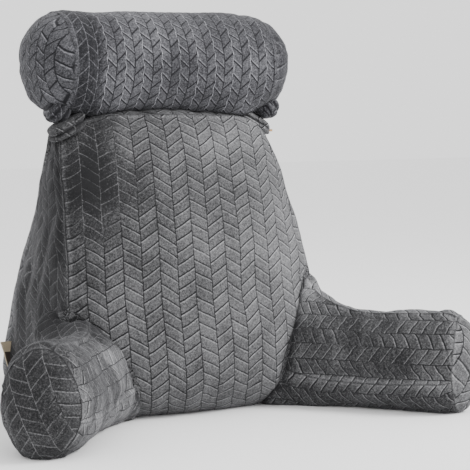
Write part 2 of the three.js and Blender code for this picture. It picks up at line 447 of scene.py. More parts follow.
def mix(a, b, t):
    """Straight from a to b as t goes from 0 to 1."""
    return a + (b - a) * t


def half_width(z):
    """Widest at arm level: above it drawn in by t^1.2, and a little narrower at the floor."""
    rise = np.clip((z - ARM_LEVEL) / (BACK_HEIGHT - ARM_LEVEL), 0, 1)
    above = mix(HALF_WIDTH_ARM, HALF_WIDTH_TOP, rise ** NARROWING)
    below = mix(HALF_WIDTH_BASE, HALF_WIDTH_ARM, step(z / ARM_LEVEL))
    return np.where(z > ARM_LEVEL, above, below)


def back_shape(box):
    """The leaning wedge: seams lean back linearly with height, and a crown of (1 - a^2) fills the panels.

    h is the share of the height: the shoulders drop by |a|^5 h^8, the rear seams draw in by h^2 (1 - h).
    """
    a, b, c = box.T
    h = (c + 1) / 2
    z = BACK_HEIGHT * h
    belly = (1 - CROWN_FALL * (h - 0.5) ** 2) * (1 - a ** 2)
    lean = FRONT_TOP + FRONT_LEAN * (1 - h)
    front_seam = -lean / (1 + (lean / FRONT_LIMIT) ** 6) ** (1 / 6)
    under = (1 - np.clip(z / ROUND_UNDER, 0, 1)) ** 2
    front = front_seam - FRONT_CROWN * belly + FRONT_UNDER * under
    back = BACK_TOP + BACK_LEAN * (1 - h) + BACK_CROWN * belly - BACK_UNDER * under
    side = SIDE_CROWN * (1 - b ** 2) * (1 - c ** 2)
    top = np.where(c == 1, TOP_CROWN * (1 - b ** 2) * (1 - a ** 2), 0)
    drawn_in = BACK_DRAW * 6 * h ** 2 * (1 - h) * (b + 1) / 2
    x = a * (half_width(z) - SIDE_UNDER * under + side - drawn_in)
    y = mix(front, back, (b + 1) / 2) + RIDGE_Y
    return np.stack([x, y, z + top - SHOULDER_DROP * np.abs(a) ** 5 * h ** 8], 1)


coarse = Panels(evenly(44), evenly(17), evenly(46))
start = back_shape(coarse.box)
at_seam = np.sort(np.abs(coarse.box), 1)[:, 1] > 0.999
held = np.where(at_seam | (coarse.box[:, 2] < -0.95), 1.0, 0.0)
SPARE_CLOTH, BACK_SWELL, SMOOTHING = 0.05, 0.010, 6
blown = blown_up("back_run", coarse, start, held, SPARE_CLOTH, BACK_SWELL)

fine = Panels(evenly(150), evenly(50), evenly(176))
back_points = back_shape(fine.box) + smoothed(coarse.spread(blown, fine), fine.quads, SMOOTHING)
print("back cushion", len(back_points), "points")

# %% [markdown]
# The case is not smooth. The gussets have long pulled folds, mostly running down and back from the front
# seam, and the front has soft hollows below the roll and where the arms pull on it.


# %% Folds of the back cushion
BACK_CREASES = (      # start, end, width and depth
    ((0.00, 0.052, 0.462), (0.085, 0.066, 0.470), 0.007, 0.004),        # below the roll
    ((0.06, 0.045, 0.445), (0.135, 0.066, 0.462), 0.008, 0.004),
    ((-0.05, 0.050, 0.465), (-0.135, 0.068, 0.462), 0.008, 0.003),
    ((-0.205, -0.02, 0.215), (-0.165, -0.07, 0.24), 0.012, 0.004),      # where the arms pull
    ((0.205, -0.02, 0.215), (0.165, -0.07, 0.24), 0.012, 0.004))
GUSSET_FOLDS, SEAM_FOLDS, HEM_FOLDS = 0.008, 0.0035, 0.006

a, b, c = fine.box.T
facing = outward(back_points, fine.quads)
on_gusset = step((np.abs(a) - 0.90) / 0.1) * step((1 - np.abs(b)) / 0.25) * step((1 + c) / 0.3)
lean_way = back_points.copy()
lean_way[:, 1] += 0.35 * lean_way[:, 2]
folds = GUSSET_FOLDS * on_gusset * gathers(lean_way, (0.2, 0.05, 0.10), 3)
folds += SEAM_FOLDS * step((1 - np.abs(a)) / 0.2) * wander(back_points, 0.07, 5)
low_edge = step((0.09 - back_points[:, 2]) / 0.09) * (b < 0)
folds += HEM_FOLDS * low_edge * gathers(back_points, (0.05, 0.2, 0.12), 8)
for line in BACK_CREASES:
    folds += crease(back_points, *line)
back_points += facing * folds[:, None]
print(f"folds from {folds.min() * 1000:.1f} to {folds.max() * 1000:.1f} mm")


# %% Cloth, pile and painted light and shade of the back cushion
def back_cloth(side, p, rows, lines):
    """Columns run up from the left seam or the front seam. On the gussets the cloth is pulled askew."""
    if side[0] != 0:
        return rows, lines
    pulled = [0.011 * wander(p.reshape(-1, 3), 0.06, seed).reshape(rows.shape) for seed in (12, 13)]
    return rows + pulled[0], lines + pulled[1]


PUFF_HEIGHT = 0.0008
back_points, back_seam, back_flat = finished(fine, back_points, back_cloth, PUFF_HEIGHT, COLUMN, PITCH,
                                              RISE)
back_points += outward(back_points, fine.quads) * 0.0013 * seam_pinch(back_seam)[:, None]
by_seam = np.exp(-(back_seam / 0.02) ** 2) * (np.abs(a) > 0.9)
back_points[:, 0] += 0.004 * by_seam * wander(back_points, 0.05, 17)
back_points[:, 2] = np.maximum(back_points[:, 2], 0)
back_points[fine.sides[2, -1], 2] = 0

dark = dark_patches(back_points, 0.09, 21)
front, height = b < 0, back_points[:, 2]
upper_left = np.exp(-((a + 0.80) / 0.26) ** 2 - ((height - 0.38) / 0.09) ** 2) * front
below_roll = np.exp(-((a - 0.1) / 0.5) ** 2 - ((height - 0.44) / 0.04) ** 2) * front
# Random dark patches of pile and a dark patch at the front's upper left; the gussets are painted darker as
# painted shade, and darker still in their random patches.
back_nap_and_shade = 0.12 * dark + on_gusset * (0.33 + 0.3 * dark) + 0.5 * upper_left
# Painted light: the front is painted lighter towards its right, the side the key lamp lights.
back_nap_and_shade -= 0.08 * a * front
# Painted shade: the upper part of the front is painted darker.
back_nap_and_shade += 0.10 * step((height - 0.26) / 0.14) * front
# A little lighter in a band just below the roll.
back_nap_and_shade -= 0.12 * below_roll
back_cushion = cushion("back_cushion_cloth", fine, back_points, back_seam, back_flat, back_nap_and_shade,
                       "back_cushion")
back_skin = skin_of(back_cushion)

# %% [markdown]
# ## The arms
#
# Each arm is a bolster: a rounded-square tube with a separate end piece, sewn into the corner between the
# back cushion's front and gusset, and splayed outwards. It is drawn in behind the tip and swells where it
# joins the back. At the join the cloth curls into the seam and puckers, so its skin stops just short of the
# back cushion's skin and dives in.

# %% Shape of the arms
ARM_LENGTH, ARM_BURIED, ARM_CAP = 0.330, 0.130, 0.058
ARM_SPLAY, ARM_TWIST, TIP_LEAN = math.radians(39), math.radians(28), math.radians(22)
ARM_ROOT_X, ARM_ROOT_Y = 0.186, -0.129
ARM_HALF_THICK, ARM_HALF_HEIGHT, ARM_SUNK = 0.062, 0.089, 0.009
ARM_LEVEL_LINE, ARM_TIGHT, ARM_SHEAR = 0.085, 1.15, 0.27
ARM_FLARE, FLARE_THICK, FLARE_HEIGHT, FLARE_LEAN = 0.130, 0.014, 0.029, 0.4
LEAN_HEIGHT, ARM_TIP_FROM, ARM_RING = 0.080, 0.55, 0.6
ARM_CORNER, ROUNDER_TIP, CAP_CORNER = 2.7, 0.5, 2.3
FLARE_SHARE = {1: 1.3, -1: 0.6}      # 1 is the right arm and -1 the left; they are not stuffed alike
WAIST = {1: 0.028, -1: 0.05}


def bolster(along, side, up, start, tip, cap, tip_from, corner, tip_corner, ring):
    """A tube with a rounded-square section and a domed end.

    The section is |side|^n + |up|^n = 1, and the same kind of curve turns the wall into the cap at the end.
    ring is how far along the dome the end panel's seam lies: 0 at its foot, 1 nearly at its top.
    """
    m = np.maximum(np.abs(side), np.abs(up))
    norm = (np.abs(side) ** corner + np.abs(up) ** corner) ** (1 / corner)
    norm = np.where(norm == 0, 1, norm)
    reach = np.clip((along - tip_from) / (1 - tip_from), 0, 1) * (1 - (1 - ring) * m ** 2)
    turn = (reach ** tip_corner + m ** tip_corner) ** (1 / tip_corner)
    on_tip = 1 / np.where(turn == 0, 1, turn)
    ended = along > tip_from
    s = np.where(ended, tip - cap + cap * reach * on_tip,
                 mix(start, tip - cap, (along + 1) / (tip_from + 1)))
    size = np.where(ended, m * on_tip, m)
    return s, side / norm * size, up / norm * size


def arm_shape(box, hand):
    """A bolster turned outwards by the splay, and how far along the arm each point lies.

    The waist is 1 - w (1 + cos) along the arm. The flare at the join falls off as (1 - s / ARM_FLARE)^2.
    """
    corner = ARM_CORNER - ROUNDER_TIP * step((box[:, 0] - 0.1) / 0.5)
    s, side, up = bolster(*box.T, -ARM_BURIED, ARM_LENGTH, ARM_CAP, ARM_TIP_FROM, corner, CAP_CORNER,
                          ARM_RING)
    side, up = (side * math.cos(ARM_TWIST) + up * math.sin(ARM_TWIST),
                up * math.cos(ARM_TWIST) - side * math.sin(ARM_TWIST))
    waist = 1 - WAIST[hand] * (1 + np.cos(2 * math.pi * np.clip(s / ARM_LENGTH - 0.45, 0, 1)))
    flare = (1 - np.clip(s / ARM_FLARE, 0, 1)) ** 2
    half_height = ARM_HALF_HEIGHT * waist + FLARE_HEIGHT * FLARE_SHARE[hand] * flare
    z = half_height * (1 + up) - ARM_SUNK
    lean = FLARE_LEAN * flare * (z - LEAN_HEIGHT)
    t = (ARM_HALF_THICK + FLARE_THICK * flare) * side + lean
    x = ARM_ROOT_X + s * math.sin(ARM_SPLAY) + t * math.cos(ARM_SPLAY)
    y = ARM_ROOT_Y - s * math.cos(ARM_SPLAY) + t * math.sin(ARM_SPLAY) + RIDGE_Y
    return np.stack([hand * x, y, np.maximum(z, 0)], 1), s


def arm_cloth(side, p, rows, lines):
    """Where each point lies in the flat cloth: the distance across the columns and along them.

    Tip: the columns stand up, leaning by TIP_LEAN. Top and floor: they run along the arm from the far seam.
    Walls: they run along the arm, counted from a level line, and the cloth is drawn tighter and sheared.
    """
    if side[0] == 0:
        hand = np.sign(p[0, 0, 0])
        level = p[..., 0] * math.cos(ARM_SPLAY) + hand * p[..., 1] * math.sin(ARM_SPLAY)
        lean = -hand * TIP_LEAN
        return (level * math.cos(lean) + p[..., 2] * math.sin(lean) + 1.0,
                p[..., 2] * math.cos(lean) - level * math.sin(lean))
    if side[0] == 2:
        return lines[:, -1:] - lines + COLUMN, rows
    order = np.argsort(p[0, :, 2])
    level = np.array([np.interp(ARM_LEVEL_LINE, z[order], along[order])
                      for z, along in zip(p[..., 2], lines)])
    return (level[:, None] - lines) * ARM_TIGHT + 4 * COLUMN, rows + ARM_SHEAR * (level[:, None] - lines)


def arm_place(s, t, z, hand):
    """The point s along the arm, t across it and z up."""
    return (hand * (ARM_ROOT_X + s * math.sin(ARM_SPLAY) + t * math.cos(ARM_SPLAY)),
            ARM_ROOT_Y + RIDGE_Y - s * math.cos(ARM_SPLAY) + t * math.sin(ARM_SPLAY), z)


print("arm shapes ready")

# %% [markdown]
# The cloth of an arm is gathered into the join, and a few long creases show where it is pulled. The pile
# lies dark in random patches. On top of that, painted shade darkens the join, the right arm's inner wall and
# foot, and the left arm's end and its top by the join, while painted light with sheen streaks across the arm
# lightens the left arm's inner wall, the right arm's end and the right arm's crown by the join.


# %% Folds, join, pile and painted light and shade of the arms
WAVES, SMALL_FOLDS = 0.004, 0.002
ROOT_GATHERS = {1: 0.009, -1: 0.003}
ARM_CREASES = {      # start and end as (along, across, up), width and depth
    1: (((0.02, -0.03, 0.205), (0.11, -0.045, 0.175), 0.007, 0.005),),
    -1: (((0.262, -0.040, 0.150), (0.238, 0.040, 0.168), 0.008, 0.006),
         ((0.10, -0.055, 0.175), (0.20, -0.075, 0.095), 0.009, 0.004))}
CURL, CURL_REACH, JOIN_GAP, MIDDLE_HEIGHT = 0.010, 0.022, 0.0012, 0.085
ARM_SWELL, ARM_PINCH = 0.008, 0.0012


def arm_folds(points, s, hand, seed):
    """How far the folds move each point: soft waves, gathers near the join, and the long creases."""
    folds = WAVES * wander(points, 0.07, seed) + SMALL_FOLDS * gathers(points, (0.05, 0.05, 0.05), seed + 1)
    near_root = step(1 - s / 0.12)
    folds += ROOT_GATHERS[hand] * near_root * gathers(points, (0.04, 0.1, 0.04), seed + 3)
    for start, end, width, depth in ARM_CREASES[hand]:
        folds += crease(points, arm_place(*start, hand), arm_place(*end, hand), width, depth)
    return folds


def joined(points, s, out, hand):
    """Curls the wall in towards the arm's own middle, and stops it just before the back cushion's skin.

    The curl is CURL (1 - room / CURL_REACH)^2. The second value is the room left before the skin.
    """
    curl = (1 - np.clip(ahead(points, back_skin, -out) / CURL_REACH, 0, 1)) ** 2 * CURL
    middle = np.array([hand * ARM_ROOT_X, ARM_ROOT_Y + RIDGE_Y, MIDDLE_HEIGHT]) + s[:, None] * out
    inward = middle - points
    inward -= (inward @ out)[:, None] * out
    inward /= np.maximum(np.linalg.norm(inward, axis=1, keepdims=True), 1e-9)
    points = points + inward * curl[:, None]
    room_left = ahead(points, back_skin, -out)
    points += out * np.maximum(0, JOIN_GAP - room_left)[:, None]
    points[:, 2] = np.maximum(points[:, 2], 0)
    return points, room_left


def arm_nap_and_shade(points, s, facing, tip, room_left, hand, seed):
    """How dark the pile lies on an arm, in random patches, with painted shade on the join, the right arm's
    inner wall and foot and the left arm's end and top by the join, and painted light on the left arm's inner
    wall, the right arm's end and the right arm's crown by the join.
    """
    dark = dark_patches(points, 0.08, seed + 5)
    inner = step(-hand * facing[:, 0] / 0.5)
    crossways = np.stack([s / 0.018, points[:, 2] / 0.09, points[:, 0] / 0.09], 1)
    # Painted sheen streaks across the arm.
    sheen_streaks = step(0.9 - 3.5 * np.abs(wander(crossways, 1.0, seed + 8)))
    height = points[:, 2]
    if hand > 0:
        # Right arm: random dark patches; the inner wall, which faces away from the key lamp, is painted
        # darker as painted shade, with lighter painted sheen streaks.
        nap_and_shade = 0.15 * dark + inner * (0.22 - 0.06 * sheen_streaks) * step((height - 0.05) / 0.02)
        # Painted shade: darker along the floor.
        nap_and_shade += 0.18 * step((0.05 - height) / 0.02)
        # Painted light: the end, which faces the key lamp, is painted lighter.
        nap_and_shade = np.where(tip, -0.05 + 0.15 * dark, nap_and_shade)
        # Painted highlight: the crown by the join is painted light, with sheen streaks.
        nap_and_shade -= (0.5 + 0.4 * sheen_streaks) * np.exp(-(s / 0.05) ** 2) * step((height - 0.13) / 0.03)
    else:
        # Left arm: random dark patches and the whole arm a little darker; the inner wall, which faces the key
        # lamp, is painted lighter with sheen streaks, a painted highlight.
        nap_and_shade = 0.25 * dark + 0.18 - inner * (0.1 + 0.25 * sheen_streaks)
        # Painted shade: the top by the join is painted darker.
        nap_and_shade += 0.6 * np.exp(-((s - 0.02) / 0.08) ** 2) * step((height - 0.12) / 0.03)
        # Painted shade: the end, which faces away from the key lamp, is painted dark over its random patches.
        nap_and_shade = np.where(tip, 0.30 + 0.2 * dark, nap_and_shade)
    # Painted shade: darker still where the arm meets the back cushion.
    return np.clip(nap_and_shade + 0.4 * np.exp(-(room_left / 0.012) ** 2), -0.9, 1)


def arm(hand, seed):
    """One arm: the bolster blown up, folded, covered in herringbone and joined to the back cushion."""
    name = "arm_right" if hand > 0 else "arm_left"
    out = np.array([hand * math.sin(ARM_SPLAY), -math.cos(ARM_SPLAY), 0])
    coarse, fine = Panels(evenly(46), evenly(13), evenly(17)), Panels(evenly(150), evenly(36), evenly(50))
    if hand < 0:      # mirroring turns the faces inside out, so they are turned back
        coarse.quads, fine.quads = coarse.quads[:, ::-1], fine.quads[:, ::-1]
    start, s = arm_shape(coarse.box, hand)
    at_seam = np.sort(np.abs(coarse.box), 1)[:, 1] > 0.999
    held = np.where(at_seam | (s < 0) | (start[:, 2] < 0.002), 1.0, 0.0)
    blown = blown_up(name + "_run", coarse, start, held, SPARE_CLOTH, ARM_SWELL)
    points, s = arm_shape(fine.box, hand)
    points += smoothed(coarse.spread(blown, fine), fine.quads, SMOOTHING)
    facing = outward(points, fine.quads)
    points += facing * arm_folds(points, s, hand, seed)[:, None]
    points, seam, flat = finished(fine, points, arm_cloth, PUFF_HEIGHT, COLUMN, PITCH, RISE)
    points += outward(points, fine.quads) * ARM_PINCH * seam_pinch(seam)[:, None]
    points, room_left = joined(points, s, out, hand)
    nap_and_shade = arm_nap_and_shade(points, s, facing, fine.box[:, 0] > 0.999, room_left, hand, seed)
    return cushion(name + "_cloth", fine, points, seam, flat, nap_and_shade, name)


arm_right = arm(1, 31)
arm_left = arm(-1, 61)

# %% [markdown]
# ## The neck roll
#
# A stuffed cylinder with domed end discs, in a finer herringbone whose columns run round it.

# %% Shape of the roll
ROLL_HALF, ROLL_RADIUS, ROLL_CAP = 0.238, 0.087, 0.092
ROLL_HEIGHT, ROLL_TIP_FROM, ROLL_TIP_CORNER, ROLL_RING = 0.575, 0.6, 2.8, 0.5
ROLL_PITCH = 2 * math.pi * ROLL_RADIUS / 24


def roll_shape(box):
    """A bolster with a round section, with both ends domed and mirrored about the middle."""
    a, b, c = box.T
    s, side, up = bolster(np.abs(a), b, c, 0.0, ROLL_HALF, ROLL_CAP, ROLL_TIP_FROM, 2, ROLL_TIP_CORNER,
                          ROLL_RING)
    s = np.where(np.abs(a) > ROLL_TIP_FROM, s, np.abs(a) * (ROLL_HALF - ROLL_CAP) / ROLL_TIP_FROM)
    return np.stack([np.sign(a) * s, RIDGE_Y + ROLL_RADIUS * side, ROLL_HEIGHT + ROLL_RADIUS * up], 1)


def roll_cloth(side, p, rows, lines):
    """Wall: u along the roll, v round it by angle. End discs: u across, v upwards."""
    y, z = p[..., 1] - RIDGE_Y, p[..., 2] - ROLL_HEIGHT
    if side[0] == 0:
        return y + 2.0, z
    centre = {(1, -1): math.pi, (1, 1): 0.0, (2, 1): math.pi / 2, (2, -1): -math.pi / 2}[side]
    turn = np.arctan2(z, y) - centre
    turn = (turn + math.pi) % (2 * math.pi) - math.pi
    return p[..., 0], ROLL_RADIUS * (turn + centre)


ROLL_SPARE, ROLL_SWELL = 0.04, 0.005
ROLL_WAVES, END_GATHERS, ROLL_SAG = 0.003, 0.005, 0.007
ROLL_PUFF, ROLL_PINCH = 0.0006, 0.0008

roll_coarse = Panels(evenly(60), evenly(13), evenly(13))
roll_start = roll_shape(roll_coarse.box)
end_seam = np.abs(roll_coarse.box[:, 0]) > 0.999
roll_held = np.where(end_seam & (np.max(np.abs(roll_coarse.box[:, 1:]), 1) > 0.999), 1.0, 0.0)
roll_blown = blown_up("roll_run", roll_coarse, roll_start, roll_held, ROLL_SPARE, ROLL_SWELL)
roll_fine = Panels(evenly(220), evenly(48), evenly(48))
roll_points = roll_shape(roll_fine.box)
roll_points += smoothed(roll_coarse.spread(roll_blown, roll_fine), roll_fine.quads, SMOOTHING)
print("neck roll", len(roll_points), "points")

# %% [markdown]
# The roll's cover is gathered near its ends, where the tails pull on it, and it hangs a little there. Its
# underside stops just above the back cushion's upper edge.

# %% Folds, cloth and nap of the roll
folds = ROLL_WAVES * wander(roll_points, 0.06, 91)
near_end = step((np.abs(roll_points[:, 0]) - 0.15) / 0.06)
folds += END_GATHERS * near_end * gathers(roll_points, (0.1, 0.035, 0.035), 93)
roll_points += outward(roll_points, roll_fine.quads) * folds[:, None]
under_side = step((ROLL_HEIGHT - 0.02 - roll_points[:, 2]) / 0.06)
roll_points[:, 2] -= ROLL_SAG * under_side * np.exp(-((np.abs(roll_points[:, 0]) - 0.128) / 0.034) ** 4)
roll_points, roll_seam, roll_flat = finished(roll_fine, roll_points, roll_cloth, ROLL_PUFF, ROLL_COLUMN,
                                             ROLL_PITCH, ROLL_RISE, ends_only=True)
pinch = np.where(np.abs(roll_fine.box[:, 0]) > 0.6, seam_pinch(roll_seam), 0)
roll_points += outward(roll_points, roll_fine.quads) * ROLL_PINCH * pinch[:, None]
roll_points[:, 2] += np.maximum(0, JOIN_GAP - ahead(roll_points, back_skin, (0, 0, -1)))

x = roll_points[:, 0]
roll_nap = 0.12 * dark_patches(roll_points, 0.07, 95) + 0.18 * step((x - 0.15) / 0.06)
roll_nap = roll_nap + 0.3 * np.exp(-((x + 0.166) / 0.024) ** 4) + 0.13
neck_roll = cushion("neck_roll_cloth", roll_fine, roll_points, roll_seam, roll_flat, roll_nap,
                    "neck_roll")
roll_skin = skin_of(neck_roll)

# %% [markdown]
# ## Tails and straps
#
# The roll's cover ends in a gathered tail at each lower end, and a short strap of body cloth holds it to
# the pillow's shoulder. All four are small bunches of folded cloth.


# %% Folded bunches
BUNCH_ROUNDNESS, BUNCH_GAP = 2.6, 0.001


def bunch(name, pleats, fall, seed, shift, deep, shade, shrink=(1, 1, 1), tilt=0.0):
    """A pillow-shaped lump in the box of its plain solid, with pleats one above the other.

    The pleats run along the direction fall, given by its drop over its width, and bulge by |sin|^0.6. deep
    is how far the folds between them sink, shade how much darker the whole bunch is painted, and tilt its
    rise to the side. The folds between the pleats are painted darker, as painted shade.
    """
    lo, hi = (np.array(v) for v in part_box(name))
    panels = Panels(evenly(30), evenly(20), evenly(30))
    corner = np.sum(np.abs(panels.box) ** BUNCH_ROUNDNESS, 1, keepdims=True) ** (1 / BUNCH_ROUNDNESS)
    unit = panels.box / corner
    along = np.array([1, 0, fall]) / math.hypot(1, fall)
    across = np.array([-along[2], 0, along[0]])
    level = unit @ across + 0.12 * wander(unit, 0.9, seed) + 0.1 * (unit @ along) ** 2
    ridge = np.abs(np.sin(pleats * math.pi / 2 * (level + 1))) ** 0.6
    uneven = 1 + 0.06 * wander(unit, 0.5, seed + 1)
    unit = unit * (0.98 - deep * (1 - ridge))[:, None] * uneven[:, None]
    points = (lo + hi) / 2 + np.array(shift) + unit * np.array(shrink) * (hi - lo) / 2
    points[:, 2] += tilt * (points[:, 0] - (lo + hi)[0] / 2)
    seam = np.full(len(points), SEAM_REACH)
    flat = {side: points[grid][..., [0, 2]] for side, grid in panels.sides.items()}
    points[:, 2] += np.maximum(0, BUNCH_GAP - ahead(points, back_skin, (0, 0, -1), back=0.2))
    points[:, 2] -= np.maximum(0, BUNCH_GAP - ahead(points, roll_skin, (0, 0, 1), back=0.2))
    # Painted shade: the folds between the pleats are painted darker, and shade darkens the whole bunch.
    return cushion(name + "_cloth", panels, points, seam, flat, 0.6 * (1 - ridge) + shade, name)


tails = [
    bunch("roll_tail_left", pleats=3, fall=1.2, seed=3, shift=(0.006, 0, 0), deep=0.14,
          shade=0.35),
    bunch("roll_tail_right", pleats=3, fall=-1.2, seed=3, shift=(-0.005, 0, 0.004), deep=0.12,
          shade=0.2)]
straps = [
    bunch("strap_left", pleats=2, fall=0.15, seed=5, shift=(-0.006, -0.0065, -0.001), deep=0.20,
          shade=0.3, shrink=(0.97, 0.91, 0.81), tilt=0.42),
    bunch("strap_right", pleats=2, fall=-0.2, seed=5, shift=(0.002, 0.008, 0.003), deep=0.16,
          shade=-0.05, shrink=(0.95, 0.7, 0.6), tilt=-0.5)]

# %% [markdown]
# ## The side label
#
# A folded tape label of dark cloth with pale edges stands out of the rear left seam. It is blank here.


# %% Label
LABEL_REACH, LABEL_FOLD, LABEL_HALF = 0.0155, 0.0007, 0.0315
LABEL_TUCK, LABEL_BEND, LABEL_LEAN = 0.004, 0.0012, 0.010      # root inside the seam, curve, and slant


def label():
    """A strip folded over: out from the seam, round a tight fold of radius r, and back."""
    lo, hi = (np.array(v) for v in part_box("side_label"))
    centre, reach, r = (lo + hi) / 2, LABEL_REACH, LABEL_FOLD
    flat, fold = np.linspace(0, 1, 12), np.linspace(0, 1, 7)
    run = np.concatenate([flat, 1 + fold[1:], 2 + flat[1:]])
    out = np.where(run <= 1, run * reach, np.where(run >= 2, (3 - run) * reach,
                   reach + r * np.sin(np.pi * (run - 1))))
    thick = np.where(run <= 1, -r, np.where(run >= 2, r, -r * np.cos(np.pi * (np.clip(run, 1, 2) - 1))))
    up = np.linspace(-1, 1, 26)
    away = np.array([-0.9, -0.35, 0]) / np.hypot(0.9, 0.35)
    across = np.array([-away[1], away[0], 0])
    bend = LABEL_BEND * np.sin(2.2 * up)[None, :] * (out / reach)[:, None]
    root = np.array([hi[0] - LABEL_TUCK, centre[1], 0])
    points = (root + out[:, None, None] * away + (thick[:, None] + bend)[..., None] * across
              + np.stack([0 * up, 0 * up, centre[2] + LABEL_HALF * up], 1)[None])
    points[..., 2] += 0.08 * out[:, None]
    points[..., 0] -= LABEL_LEAN * up[None, :] * (0.1 + 0.9 * out / reach)[:, None]
    n, m = points.shape[:2]
    grid = np.arange(n * m).reshape(n, m)
    quads = np.stack([grid[:-1, :-1], grid[1:, :-1], grid[1:, 1:], grid[:-1, 1:]], -1).reshape(-1, 4)
    mesh = bpy.data.meshes.new("side_label_cloth")
    mesh.from_pydata(points.reshape(-1, 3).tolist(), [], quads.tolist())
    uv = np.stack(np.meshgrid(np.linspace(0, 1, n), np.linspace(0, 1, m), indexing="ij"), -1).reshape(-1, 2)
    mesh.uv_layers.new(name="cloth").data.foreach_set("uv", uv[quads].ravel())
    made = bpy.data.objects.new("side_label_cloth", mesh)
    bpy.context.scene.collection.objects.link(made)
    mesh.polygons.foreach_set("use_smooth", np.ones(len(mesh.polygons), bool))
    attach(made, "root")
    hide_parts("side_label")
    return made


side_label = label()
print("label made")

# %% [markdown]
# ## Materials
#
# Plush is a short dense pile. Its colour changes with the way the pile lies, and with the painted light and
# shade that each cushion carries with it. It is matt face on, and it brightens where it is seen edge on,
# which the sheen gives. The pressed lines between the puffs are narrow grooves. Their lips are painted: a
# painted highlight below the dark lines and painted shade above the pale ones, and the pale lines are painted
# highlights.


# %% Node writing
class Wiring:
    """Short ways to add shader nodes and join them. A value is a number or another node's output."""

    def __init__(self, name):
        self.material = bpy.data.materials.new(name)
        self.material.use_nodes = True
        self.tree = self.material.node_tree
        self.shader = self.tree.nodes["Principled BSDF"]

    def put(self, socket, value):
        if isinstance(value, bpy.types.NodeSocket):
            self.tree.links.new(value, socket)
        elif hasattr(value, "__len__") and len(value) == 3 and socket.type == "RGBA":
            socket.default_value = (*value, 1)
        else:
            socket.default_value = value

    def node(self, kind, **settings):
        made = self.tree.nodes.new(kind)
        for key, value in settings.items():
            setattr(made, key, value)
        return made

    def math(self, operation, *values):
        made = self.node("ShaderNodeMath", operation=operation)
        for socket, value in zip(made.inputs, values):
            self.put(socket, value)
        return made.outputs[0]

    def add(self, *v): return self.math("ADD", *v)
    def sub(self, *v): return self.math("SUBTRACT", *v)
    def mul(self, *v): return self.math("MULTIPLY", *v)
    def div(self, *v): return self.math("DIVIDE", *v)

    def between(self, value, low, high):
        return self.math("MINIMUM", self.math("MAXIMUM", value, low), high)

    def bell(self, distance, width):
        """exp(-(distance / width)^2)"""
        r = self.div(distance, width)
        return self.math("EXPONENT", self.mul(self.mul(r, r), -1))

    def blend(self, share, first, second):
        made = self.node("ShaderNodeMix", data_type="RGBA", clamp_factor=False)
        self.put(made.inputs["Factor"], share)
        self.put(made.inputs[6], first)
        self.put(made.inputs[7], second)
        return made.outputs[2]

    def noise(self, size, detail=2.0, stretch=(1, 1, 1)):
        """Noise from 0 to 1 with lumps about size metres across, in the object's own coordinates."""
        where = self.node("ShaderNodeMapping")
        self.put(where.inputs["Vector"], self.node("ShaderNodeTexCoord").outputs["Object"])
        where.inputs["Scale"].default_value = stretch
        made = self.node("ShaderNodeTexNoise")
        self.put(made.inputs["Vector"], where.outputs[0])
        made.inputs["Scale"].default_value = 0.5 / size
        made.inputs["Detail"].default_value = detail
        return made.outputs["Fac"]

    def attribute(self, name):
        return self.node("ShaderNodeAttribute", attribute_name=name).outputs["Fac"]


LINE_WIDTH, EDGE_WIDTH, RIDGE_WIDTH, STITCH_WIDTH = 0.0009, 0.0007, 0.0007, 0.0009
LINE_DEPTH, EDGE_DEPTH, RIDGE_HEIGHT = 0.0009, 0.0006, 0.0007
FIBRE_SIZE, TUFT_SIZE, PATCH_SIZE = 0.0007, 0.0017, 0.03
FIBRE_HEIGHT, TUFT_HEIGHT = 0.0006, 0.0014
NAP_REST, TONE_CURVE = 0.42, 1.6


